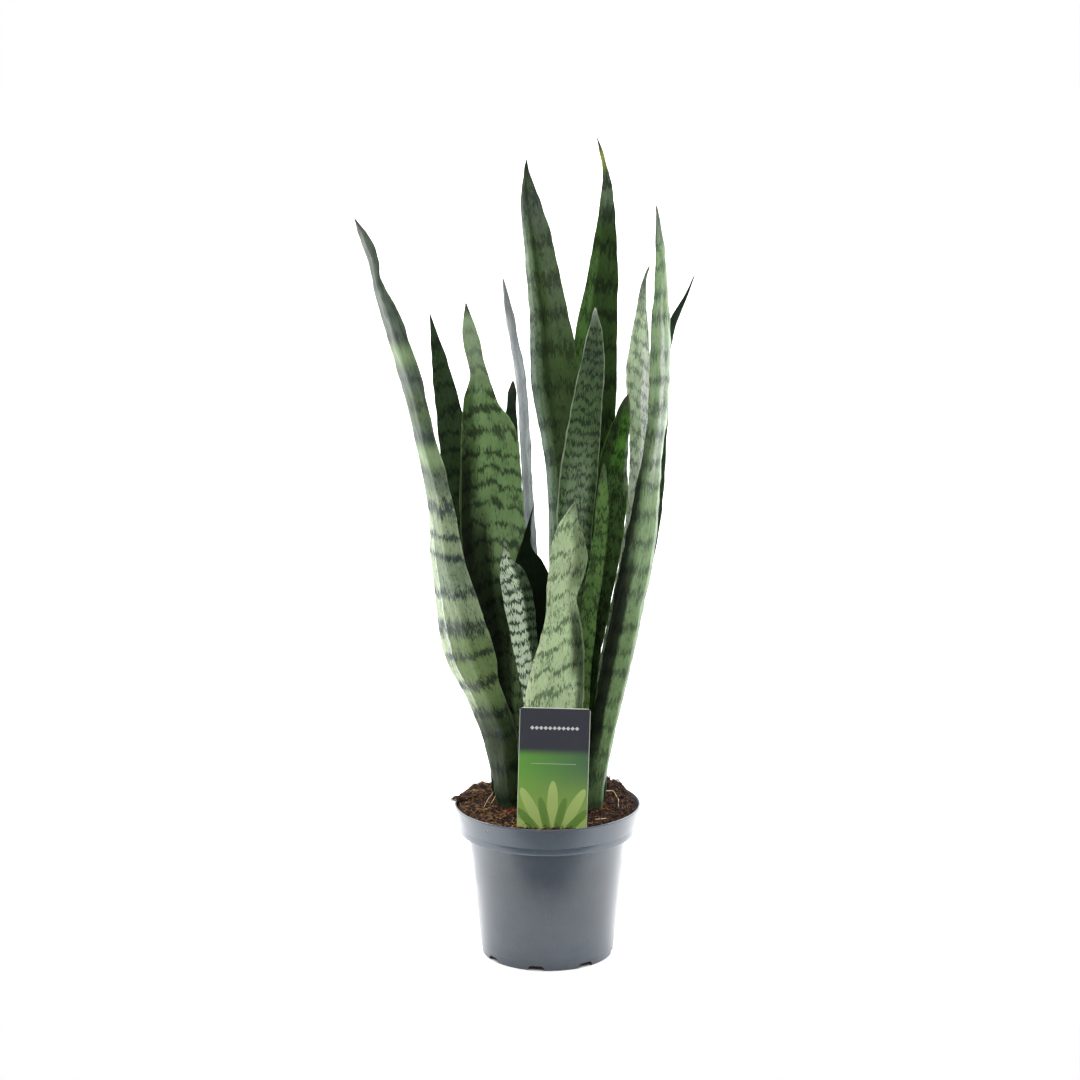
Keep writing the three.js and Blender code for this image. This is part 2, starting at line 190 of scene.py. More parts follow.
def grains(tree, place, stretch, offset=(0, 0, 0), detail=2.0, roughness=0.5):
    """Cloudy noise from 0 to 1. stretch gives how many grains there are in a metre each way."""
    mapping = put(tree, "Mapping", {"Vector": place, "Scale": stretch, "Location": offset})
    sockets = {"Vector": mapping[0], "Scale": 1.0, "Detail": detail, "Roughness": roughness}
    return put(tree, "TexNoise", sockets)[0]


def new_material(name, **constants):
    """A material with these constants on its shader, its tree, and its object coordinates."""
    material = bpy.data.materials.new(name)
    material.use_nodes = True
    tree = material.node_tree
    sockets = {socket.replace("_", " "): value for socket, value in constants.items()}
    feed(tree, tree.nodes["Principled BSDF"], sockets)
    return material, tree, put(tree, "TexCoord")["Object"]


def dress(tree, colour, relief, strength, depth, **others):
    """Feeds a shader its colour, a relief of a depth in metres, and other sockets by name."""
    bump = put(tree, "Bump", {"Strength": strength, "Distance": depth, "Height": relief})[0]
    feed(tree, tree.nodes["Principled BSDF"], {"Base Color": colour, "Normal": bump, **others})


def new_group(name, inputs, outputs):
    """An empty node group, with what it is given and the node for its results. Its inputs are
    named with their kinds, and all its outputs are floats."""
    tree = bpy.data.node_groups.new(name, "ShaderNodeTree")
    for socket, kind in inputs.items():
        tree.interface.new_socket(socket, in_out="INPUT", socket_type="NodeSocket" + kind)
    for socket in outputs:
        tree.interface.new_socket(socket, in_out="OUTPUT", socket_type="NodeSocketFloat")
    return tree, tree.nodes.new("NodeGroupInput").outputs, tree.nodes.new("NodeGroupOutput")


# Handling marks, used on the pot and the label: rubbed patches, fine scratches and grains of dust.
handling, given, result = new_group(
    "handling_marks", {"Place": "Vector", "Size": "Float"}, ("Rubs", "Scratches", "Dust"))
marks_place = put(handling, "VectorMath", {0: given["Place"], 3: given["Size"]}, operation="SCALE")[0]
rub = grains(handling, marks_place, (22, 22, 30), detail=5.0, roughness=0.62)
scratch = grains(handling, marks_place, (380, 380, 26), (3, 1, 7), detail=3.0)
speck = grains(handling, marks_place, (900, 900, 900), (5, 2, 1), detail=1.0)
for mark, cloud, low, high in (
        ("Rubs", rub, 0.42, 0.68), ("Scratches", scratch, 0.6, 0.74), ("Dust", speck, 0.7, 0.78)):
    feed(handling, result, {mark: eased(handling, cloud, low, high)})

mould_mark = Vector((-0.0552, -0.0634, 0.1338))
mark_ripples = 3600.0
seam_turn = math.radians(-89)

pot_material, tree, place = new_material("pot plastic", Coat_Weight=0.32, Coat_Roughness=0.24)
marks = put(tree, "Group", {"Place": place, "Size": 1.0}, node_tree=handling)
place_x, place_y, height = axes(tree, place)
flow = grains(tree, place, (14, 14, 5), detail=3.0)
# Painted light: the collar and the top 3 cm of the body below it are painted paler (4b5763). This
# stands for brighter light on them and lifts the collar's shade on the body.
painted_collar_light = eased(tree, height, collar_foot - 0.03, collar_foot + 0.004)
near_rim = eased(tree, height, pot_height - 0.012, pot_height + 0.004)
from_mark = put(tree, "VectorMath", {0: place, 1: mould_mark}, operation="DISTANCE")["Value"]
mark_dot = faded(tree, from_mark, 0.0006, 0.0013)
soiling = calc(tree, "MULTIPLY", near_rim, marks["Rubs"])
colour = tinted(
    tree, "323b45", (marks["Rubs"], 0.45, "414b55"), (flow, 0.25, "323c44"), (painted_collar_light, 0.7, "4b5763"),
    (soiling, 0.5, "3d3732"), (marks["Dust"], 0.22, "8f9396"), (mark_dot, 0.75, "20252a"))
turn = calc(tree, "ARCTAN2", place_y, place_x)
seam = faded(tree, calc(tree, "ABSOLUTE", calc(tree, "SUBTRACT", turn, seam_turn)), 0.0, 0.006)
fine = grains(tree, place, (1500, 1500, 1500))
ripples = calc(tree, "SINE", calc(tree, "MULTIPLY", from_mark, mark_ripples))
ripples = calc(tree, "MULTIPLY", ripples, faded(tree, from_mark, 0.002, 0.006))
relief = summed(tree, 0.0, (fine, 0.22), (seam, 0.5), (flow, 1.5), (ripples, 1.1), (mark_dot, -3.0),
                (marks["Scratches"], -0.2))
rough = summed(tree, 0.28, (marks["Rubs"], 0.1), (marks["Dust"], 0.2))
dress(tree, colour, relief, 0.35, 0.0004, Roughness=rough)

wall_lean = (wall_top_radius - foot_radius) / collar_foot
foot_line_radius = foot_radius + wall_lean * foot_line
pot_mesh = bmesh.new()
turned(pot_mesh, [
    (0, gate_depth),
    (gate_radius, gate_depth),
    (gate_radius + gate_step, 0),
    (foot_radius - foot_chamfer, 0),
    (foot_radius - line_step, foot_chamfer),
    (foot_line_radius - line_step, foot_line),
    (foot_line_radius, foot_line + line_step),
    (wall_top_radius, collar_foot),
    *((collar_foot_radius - inset, collar_foot + rise) for inset, rise in collar_corner),
    (collar_foot_radius - line_step, collar_foot + collar_line),
    (collar_foot_radius, collar_foot + collar_line + line_step),
    *((rim_radius - inset, pot_height - drop) for inset, drop in rim_corners),
    (collar_foot_radius - wall_thickness, collar_foot + ledge_rise),
    (wall_top_radius - wall_thickness, collar_foot + floor_thickness),
    (foot_radius - wall_thickness + wall_lean * floor_thickness, floor_thickness),
    (0, floor_thickness),
], pot_sides)
pot = finished("nursery_pot", pot_mesh, pot_material, "pot")

arch_mesh = bmesh.new()
for i in range(arch_count):
    turn_to = Matrix.Rotation(first_arch + i * math.tau / arch_count, 4, "Z")
    move = Matrix.Translation((foot_radius - arch_depth + arch_size[0] / 2, 0, 0))
    shape = Matrix.Diagonal((*arch_size, 1))
    block = bmesh.ops.create_cube(arch_mesh, size=1, matrix=turn_to @ move @ shape)
    top = [edge for edge in {e for v in block["verts"] for e in v.link_edges}
           if min(v.co.z for v in edge.verts) > 0
           and abs((edge.verts[0].co - edge.verts[1].co).length - arch_size[0]) < touching]
    bmesh.ops.bevel(arch_mesh, geom=top, offset=arch_round, segments=6, profile=0.5,
                    affect="EDGES", material=-1, clamp_overlap=True)
arches = in_scene("arches", arch_mesh)
cut = settle(pot.modifiers.new("arches", "BOOLEAN"), operation="DIFFERENCE", solver="EXACT",
             object=arches)
bpy.context.view_layer.update()
cut_pot = pot.evaluated_get(bpy.context.evaluated_depsgraph_get())
cut_data = bpy.data.meshes.new_from_object(cut_pot)
pot.modifiers.remove(cut)
pot.data = cut_data
bpy.data.objects.remove(arches)
ease_edges(pot, pot_easing, 38)

# Growing mix: moist coir and peat in one body that fills the pot. Its skin is turned like the pot's
# inside, its top is laid on the solid's uneven top, and noise raises the clods and crumbs on it.

mix_gap = 0.0003
mix_seat = 0.0005
mix_rings = 76
mix_sides = 360
mix_reach = rim_radius - wall_thickness - mix_gap
mix_inside = 0.97
hole_reach = 0.005
wall_fade = 0.007
heap_at_wall = 0.45
noise_level = 0.013
# A clod is how many there are in a metre and its rise. A heap is its place, its reach and its rise.
mix_clods = ((90, 0.0018), (210, 0.0014), (520, 0.0008), (1100, 0.0004))
mix_heaps = ((-0.066, 0.038, 0.019, 0.007), (-0.076, 0.008, 0.014, 0.006),
             (0.052, 0.056, 0.021, 0.011), (-0.01, 0.07, 0.026, 0.005),
             (0.073, 0.034, 0.014, 0.0075))

merged_mix = bmesh.new()
merged_mix.from_mesh(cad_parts["growing_mix"].data)
mix_tree = BVHTree.FromBMesh(merged_mix)
merged_mix.free()


def solid_top(x, y):
    """Height of the solid's top, read beside any hole that a leaf or the label stands in."""
    heights = []
    for dx, dy in ((0, 0), (hole_reach, 0), (-hole_reach, 0), (0, hole_reach), (0, -hole_reach)):
        reach = math.hypot(x + dx, y + dy)
        pull = min(1, mix_inside * mix_reach / max(reach, touching))
        above = Vector(((x + dx) * pull, (y + dy) * pull, 1))
        hit = mix_tree.ray_cast(above, Vector((0, 0, -1)))[0]
        heights.append(hit.z if hit else 0)
    return max(heights)


def mix_top(x, y):
    """Height of the finished, crumbly top of the mix. Heaps are lower beside the wall."""
    height = solid_top(x, y)
    from_wall = min(1, max(0, (mix_reach - math.hypot(x, y)) / wall_fade))
    for heap_x, heap_y, heap_reach, rise in mix_heaps:
        away = ((x - heap_x) ** 2 + (y - heap_y) ** 2) / heap_reach ** 2
        height += rise * math.exp(-away) * (heap_at_wall + (1 - heap_at_wall) * from_wall)
    for per_metre, rise in mix_clods:
        height += rise * noise.noise(Vector((x, y, noise_level)) * per_metre)
    return height


def inside_radius(height):
    """Radius of the collar's inside at a height."""
    share = (height - collar_foot - ledge_rise) / (pot_height - collar_foot - ledge_rise)
    low, high = collar_foot_radius - wall_thickness, rim_radius - wall_thickness
    return low + (high - low) * min(1, share)


def mix_edge(x, y):
    """How far out the mix meets the wall, in the direction of a place."""
    out = max(math.hypot(x, y), touching)
    return inside_radius(mix_top(x / out * mix_reach, y / out * mix_reach)) - mix_gap


mix_mesh = bmesh.new()
turned(mix_mesh, [
    (0, floor_thickness + mix_gap),
    (foot_radius - wall_thickness - mix_gap, floor_thickness + mix_gap),
    (wall_top_radius - wall_thickness - mix_gap, collar_foot + floor_thickness),
    (collar_foot_radius - wall_thickness - mix_gap, collar_foot + ledge_rise + mix_seat),
    *((mix_reach * ring / mix_rings, pot_height) for ring in range(mix_rings, -1, -1)),
], mix_sides)
for corner in mix_mesh.verts:
    if corner.co.z < pot_height - touching:
        continue
    shrink = mix_edge(corner.co.x, corner.co.y) / mix_reach
    x, y = corner.co.x * shrink, corner.co.y * shrink
    corner.co = (x, y, mix_top(x, y))

mix_material, tree, place = new_material("growing mix", Roughness=0.95, Specular_IOR_Level=0.25)
clump = grains(tree, place, (160, 160, 160), detail=4.0, roughness=0.6)
crumb_cells = put(tree, "TexVoronoi", {"Vector": place, "Scale": 750.0}, feature="F1")
crumb_tone = put(tree, "SeparateColor", {0: crumb_cells["Color"]})[0]
colour = mixed(tree, eased(tree, clump, 0.35, 0.65), "140d09", "2f1c12")
colour = mixed(tree, eased(tree, crumb_tone, 0.62, 0.95), colour, "4e3220")
colour = tinted(tree, colour, (eased(tree, crumb_tone, 0.0, 0.3), 0.4, "1b110c"))
relief = calc(tree, "ADD", crumb_cells["Distance"], clump)
dress(tree, colour, relief, 0.9, 0.0008)
finished("growing_mix_body", mix_mesh, mix_material, "growing_mix")

# Loose coir on the mix: crumbs and chips half sunk in its top, short curled fibres that lie over
# each other, and longer straw-coloured ones. Each kind is one mesh.

crumb_count = 2600
crumb_sizes = (0.0006, 0.0017)
chip_count = 130
chip_sizes = (0.0014, 0.0022)
crumb_lift = 0.15
fibre_count = 2900
fibre_joints = 5
fibre_thickness = 0.00042
fibre_margin = 0.001
fibre_gap = 0.0008
straw_count = 760
straw_joints = 8
straw_thickness = 0.00036


def spot_on_mix(margin):
    """A random spot on the mix that stays a margin away from the wall."""
    angle = chance.uniform(0, math.tau)
    out = (mix_edge(math.cos(angle), math.sin(angle)) - margin) * math.sqrt(chance.random())
    return out * math.cos(angle), out * math.sin(angle)


def strands(name, paths, thickness, material):
    """One piece of round strands. A path is a list of (place, share of the full thickness)."""
    curve = settle(bpy.data.curves.new(name, "CURVE"), dimensions="3D", bevel_depth=thickness / 2,
                   bevel_resolution=0, use_fill_caps=True)
    for path in paths:
        spline = curve.splines.new("POLY")
        spline.points.add(len(path) - 1)
        for point, (spot, share) in zip(spline.points, path):
            point.co = (*spot, 1)
            point.radius = share
    holder = bpy.data.objects.new(name, curve)
    mesh = bmesh.new()
    mesh.from_mesh(bpy.data.meshes.new_from_object(holder))
    bpy.data.objects.remove(holder)
    return finished(name, mesh, material)


def fibre_material(name, dark, usual_tone, light):
    """Coir in three tones that change from crumb to crumb, with a fine grain."""
    material, tree, place = new_material(name, Roughness=0.85, Specular_IOR_Level=0.25)
    tone = grains(tree, place, (240, 240, 240), (4, 4, 4), detail=3.0, roughness=0.7)
    colour = mixed(tree, eased(tree, tone, 0.38, 0.5), dark, usual_tone)
    colour = mixed(tree, eased(tree, tone, 0.54, 0.66), colour, light)
    dress(tree, colour, grains(tree, place, (2600, 2600, 2600)), 0.6, 0.0003)
    return material


coir_material = fibre_material("coir", "100906", "38231a", "775439")
straw_material = fibre_material("straw fibres", "7a5833", "a88350", "d0ae74")

crumb_mesh = bmesh.new()
crumb_data = bpy.data.meshes.new("crumb")
for i in range(crumb_count + chip_count):
    size = chance.uniform(*(crumb_sizes if i < crumb_count else chip_sizes))
    stretch = Vector((chance.uniform(0.8, 2.4), chance.uniform(0.5, 1.1), chance.uniform(0.35, 0.8)))
    x, y = spot_on_mix(1.3 * size * stretch.x)
    spin_by = Matrix.Rotation(chance.uniform(0, math.tau), 4, "Z")
    spin_by = spin_by @ Matrix.Rotation(chance.uniform(-0.7, 0.7), 4, "X")
    lift = Matrix.Translation((x, y, mix_top(x, y) + size * crumb_lift))
    shape = Matrix.Diagonal((*(stretch * size), 1))
    crumb = bmesh.new()
    bmesh.ops.create_icosphere(crumb, subdivisions=1, radius=1, matrix=lift @ spin_by @ shape)
    for corner in crumb.verts:
        corner.co += Vector([chance.uniform(-0.25, 0.25) * size for axis in range(3)])
    crumb.to_mesh(crumb_data)
    crumb.free()
    crumb_mesh.from_mesh(crumb_data)
finished("coir_crumbs", crumb_mesh, coir_material)


def lying_fibre(x, y, heading, step, joints, curl, rise, tilt):
    """The path of a fibre that lies on the mix, arched by rise and tilted up by tilt a joint."""
    path = []
    for joint in range(joints):
        share = joint / (joints - 1)
        if math.hypot(x, y) < mix_edge(x, y) - fibre_gap:
            z = mix_top(x, y) + rise * math.sin(math.pi * share) + tilt * joint
            path.append((Vector((x, y, z)), 1 - 0.6 * abs(2 * share - 1)))
        heading += curl + chance.gauss(0, 0.25)
        x += step * math.cos(heading)
        y += step * math.sin(heading)
    return path


fibre_paths, straw_paths = [], []
for i in range(fibre_count):
    x, y = spot_on_mix(fibre_margin)
    heading = chance.uniform(0, math.tau)
    step = chance.choice((1, 1, 1, 1.6, 2.6)) * chance.uniform(0.0009, 0.0022)
    thick = chance.choice((0.6, 0.8, 1, 1.5, 2.1))
    path = lying_fibre(x, y, heading, step, fibre_joints, chance.gauss(0, 0.35),
                       chance.uniform(0.0001, 0.0016), max(0, chance.gauss(0, 0.0007)))
    if len(path) > 2:
        fibre_paths.append([(place, share * thick) for place, share in path])
for i in range(straw_count):
    x, y = spot_on_mix(fibre_margin)
    heading = chance.uniform(0, math.tau)
    path = lying_fibre(x, y, heading, chance.uniform(0.0009, 0.0026), straw_joints,
                       chance.gauss(0, 0.12), chance.uniform(0.0006, 0.0026),
                       max(0, chance.gauss(0, 0.0002)))
    # Straw is rarer towards the right.
    if len(path) > 3 and chance.random() > 0.5 + 8 * x:
        straw_paths.append(path)
strands("coir_fibres", fibre_paths, fibre_thickness, coir_material)
strands("straw_fibres", straw_paths, straw_thickness, straw_material)

# A torn clump of coir lies over the left of the rim, and splinters of husk stand up at the back,
# most of them on the heap at the right.
clump_count = 44
longest_count = 18
clump_root = -0.073
clump_side = 0.003
clump_height = 0.1432
splinter_count = 42
heap_splinters = 31

clump_paths = []
for i in range(clump_count):
    y = chance.gauss(clump_side, 0.003)
    z = clump_height + chance.uniform(0, 0.0028)
    reach = chance.uniform(0.087, 0.0925) if i < longest_count else chance.uniform(0.082, 0.088)
    start = Vector((clump_root + chance.uniform(-0.003, 0.004), y + chance.gauss(0, 0.003),
                    z + chance.uniform(0, 0.002)))
    end = Vector((-reach, y + chance.gauss(0, 0.0008), z - chance.uniform(0, 0.0012)))
    bulge = Vector((0, 0, chance.uniform(0.0002, 0.0014)))
    thick = chance.uniform(1.2, 3.6)
    clump_paths.append([
        (start.lerp(end, share) + bulge * math.sin(math.pi * share), thick * (1.05 - 0.8 * share))
        for share in (0, 0.25, 0.5, 0.75, 1)
    ])
for i in range(splinter_count):
    x, y = chance.gauss(0.058, 0.006), chance.gauss(0.054, 0.006)
    if i >= heap_splinters:
        x, y = chance.uniform(-0.07, 0.03), chance.gauss(0.062, 0.004)
    if math.hypot(x, y) > mix_reach * mix_inside:
        continue
    start = Vector((x, y, mix_top(x, y) - 0.001))
    lean = Vector((chance.gauss(0.15, 0.5), chance.gauss(0.1, 0.5), 1)).normalized()
    length = chance.uniform(0.003, 0.0065)
    thick = chance.uniform(1.6, 3.6)
    clump_paths.append([(start + lean * length * share, thick * (1 - 0.75 * share))
                        for share in (0, 0.35, 0.7, 1)])
strands("coir_clumps", clump_paths, fibre_thickness, coir_material)

# Roots on the surface: a few straw-coloured roots that leave the feet of the leaves and run over
# the mix, and reddish husk beside them. Each root is one smooth tapering strand.

root_thickness = 0.0008
# Each run is its points as (x, y, height over the mix).
root_runs = [
    [(-0.043, 0.032, 0.011), (-0.0465, 0.02, 0.009), (-0.0505, 0.006, 0.007),
     (-0.0545, -0.008, 0.005), (-0.0585, -0.022, 0.002)],
    [(-0.0415, 0.024, 0.011), (-0.044, 0.014, 0.009), (-0.0475, 0.001, 0.007),
     (-0.0515, -0.012, 0.003)],
    [(0.048, 0.027, 0.004), (0.056, 0.026, 0.0035), (0.061, 0.024, 0.003),
     (0.064, 0.018, 0.002), (0.0652, 0.006, 0.002), (0.065, -0.006, 0.001),
     (0.0652, -0.012, 0.0005)],
    [(0.043, -0.047, 0.0015), (0.05, -0.044, 0.002), (0.056, -0.038, 0.0008)],
    [(0.018, 0.052, 0.001), (0.03, 0.058, 0.0025), (0.044, 0.056, 0.0008)],
]


def smooth_run(points, parts=6):
    """The points of a run joined by a smooth curve, with parts steps between each two."""
    run = []
    last = len(points) - 1
    for i in range(last):
        before, first, second, after = (points[max(0, min(last, j))] for j in range(i - 1, i + 3))
        for part in range(parts):
            t = part / parts
            run.append((first * 2 + (second - before) * t
                        + (before * 2 - first * 5 + second * 4 - after) * t ** 2
                        + (first * 3 - before - second * 3 + after) * t ** 3) / 2)
    return [*run, points[-1]]


def root_path(run):
    """The path of a root that gets thinner along its run."""
    places = smooth_run([Vector((x, y, mix_top(x, y) + over)) for x, y, over in run])
    return [(spot, 1 - 0.6 * i / len(places)) for i, spot in enumerate(places)]


root_material, tree, place = new_material("surface roots", Roughness=0.6)
colour = mixed(tree, grains(tree, place, (90, 90, 90), detail=3.0), "cfae78", "ecdcb4")
dress(tree, colour, grains(tree, place, (700, 700, 700)), 0.5, 0.0003)
root_paths = [root_path(run) for run in root_runs]
strands("surface_roots", root_paths, root_thickness, root_material)

# Reddish husk lies round the foot of the left outer leaf and between the label and the right tuft.
# A place is where it lies, how far it is spread and how many pieces there are.
husk_places = ((-0.034, -0.030, 0.0065, 46), (-0.046, 0.006, 0.004, 12), (0.050, -0.014, 0.005, 20))
husk_thickness = 0.00045
husk_joints = 6
husk_tilt = 0.0002

husk_material = fibre_material("reddish husk", "4a2414", "8a4726", "b06a3c")
husk_paths = []
for husk_x, husk_y, spread, count in husk_places:
    for i in range(count):
        path = lying_fibre(
            chance.gauss(husk_x, spread), chance.gauss(husk_y, spread * 0.6), chance.gauss(0, 0.5),
            chance.uniform(0.0008, 0.0018), husk_joints, chance.gauss(0, 0.12),
            chance.uniform(0.0005, 0.002), husk_tilt)
        husk_paths.append([(place, share * chance.uniform(0.8, 2.2)) for place, share in path])
strands("reddish_husk", husk_paths, husk_thickness, husk_material)

# Rootstock: the fleshy orange stem that creeps through the mix and joins the leaves. The mix hides
# it, so the solid itself stays, with a finish.

rootstock_material, tree, place = new_material("rootstock", Roughness=0.6)
tone = grains(tree, place, (120, 120, 40), detail=3.0)
dress(tree, mixed(tree, tone, "a85a22", "d99a5b"), tone, 0.5, 0.0005)
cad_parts["rootstock"].data.materials.clear()
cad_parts["rootstock"].data.materials.append(rootstock_material)

# Leaves: sixteen stiff, waxy, channelled blades with frayed cross-bands, a thin pale margin and a
# dry awl-like tip. Each takes its solid's skin, smoothed and rippled, and maps for its colours.

leaf_corners = 10
leaf_half = leaf_corners // 2
leaf_smoothing = 2
margin_crease = 0.35
tip_share = 0.3
ripple_rise = 0.0026
ripple_size = 0.016
seed_step = 7.3
leaf_tone = 1.2
fleck_share = 0.8
zone_waver = 0.12
margin_fade = (0.0002, 0.0007)
awl_fade = (0.002, 0.008)
leaf_maps = ("LeafRun", "LeafShare", "LeafEdge")

band_controls = ("Spacing", "Width", "Slope", "Vee", "Zigzag", "Count", "Fray", "Drift", "Breaks",
                 "Flecks", "Clouds", "Softness")
bands, given, result = new_group(
    "bowstring_bands", {"Run": "Vector", "Seed": "Float", **dict.fromkeys(band_controls, "Float")},
    ("Bands", "Streaks", "Mottle", "Ridges"))
across, along = axes(bands, given["Run"])[:2]


def leaf_noise(across_count, along_count, shift, detail=2.0, roughness=0.5):
    """Noise over the leaf, from -1 to 1, with so many grains in a metre across and along it."""
    x = calc(bands, "MULTIPLY", across, across_count)
    y = calc(bands, "MULTIPLY", along, along_count)
    z = calc(bands, "ADD", given["Seed"], shift)
    spot = put(bands, "CombineXYZ", {0: x, 1: y, 2: z})[0]
    sockets = {"Vector": spot, "Scale": 1.0, "Detail": detail, "Roughness": roughness}
    return calc(bands, "MULTIPLY_ADD", put(bands, "TexNoise", sockets)[0], 2.0, -1.0)


# The bands run across the leaf in a wavering line whose edges fray along the leaf's fibres.
fray = summed(bands, leaf_noise(1500, 25, 11, 3.0, 0.6), (leaf_noise(420, 60, 17), 0.8))
wander = calc(bands, "MULTIPLY", leaf_noise(given["Count"], 14, 23, 1.0), given["Zigzag"])
shifted = summed(
    bands, along, (across, given["Slope"]), (calc(bands, "ABSOLUTE", across), given["Vee"]),
    (fray, given["Fray"]), (wander, 2.0),
    (leaf_noise(4, 17, 31, 1.0), calc(bands, "MULTIPLY", given["Drift"], given["Spacing"])))
turns = calc(bands, "FRACT", calc(bands, "DIVIDE", shifted, given["Spacing"]))
from_band = calc(bands, "ABSOLUTE", calc(bands, "SUBTRACT", turns, 0.5))
reach = summed(bands, 1.0, (leaf_noise(45, 38, 41, 1.0), given["Breaks"]))
reach = calc(bands, "MAXIMUM", calc(bands, "MULTIPLY", reach, given["Width"]), 0.01)
density = calc(bands, "SUBTRACT", 1.0, calc(bands, "DIVIDE", from_band, reach))
density = summed(
    bands, calc(bands, "MAXIMUM", density, 0.1),
    (leaf_noise(1300, 230, 71, 3.0, 0.65), given["Flecks"]),
    (leaf_noise(150, 70, 83, 3.0, 0.6), given["Clouds"]))
blur = [calc(bands, way, 0.5, given["Softness"]) for way in ("SUBTRACT", "ADD")]
feed(bands, result, {
    "Bands": eased(bands, density, *blur),
    "Streaks": summed(bands, 0.5, (leaf_noise(620, 26, 53, 4.0, 0.7), 0.5)),
    "Mottle": summed(bands, 0.5, (leaf_noise(170, 75, 61, 5.0, 0.7), 0.5)),
    "Ridges": summed(bands, 0.5, (leaf_noise(230, 3, 97), 0.5)),
})
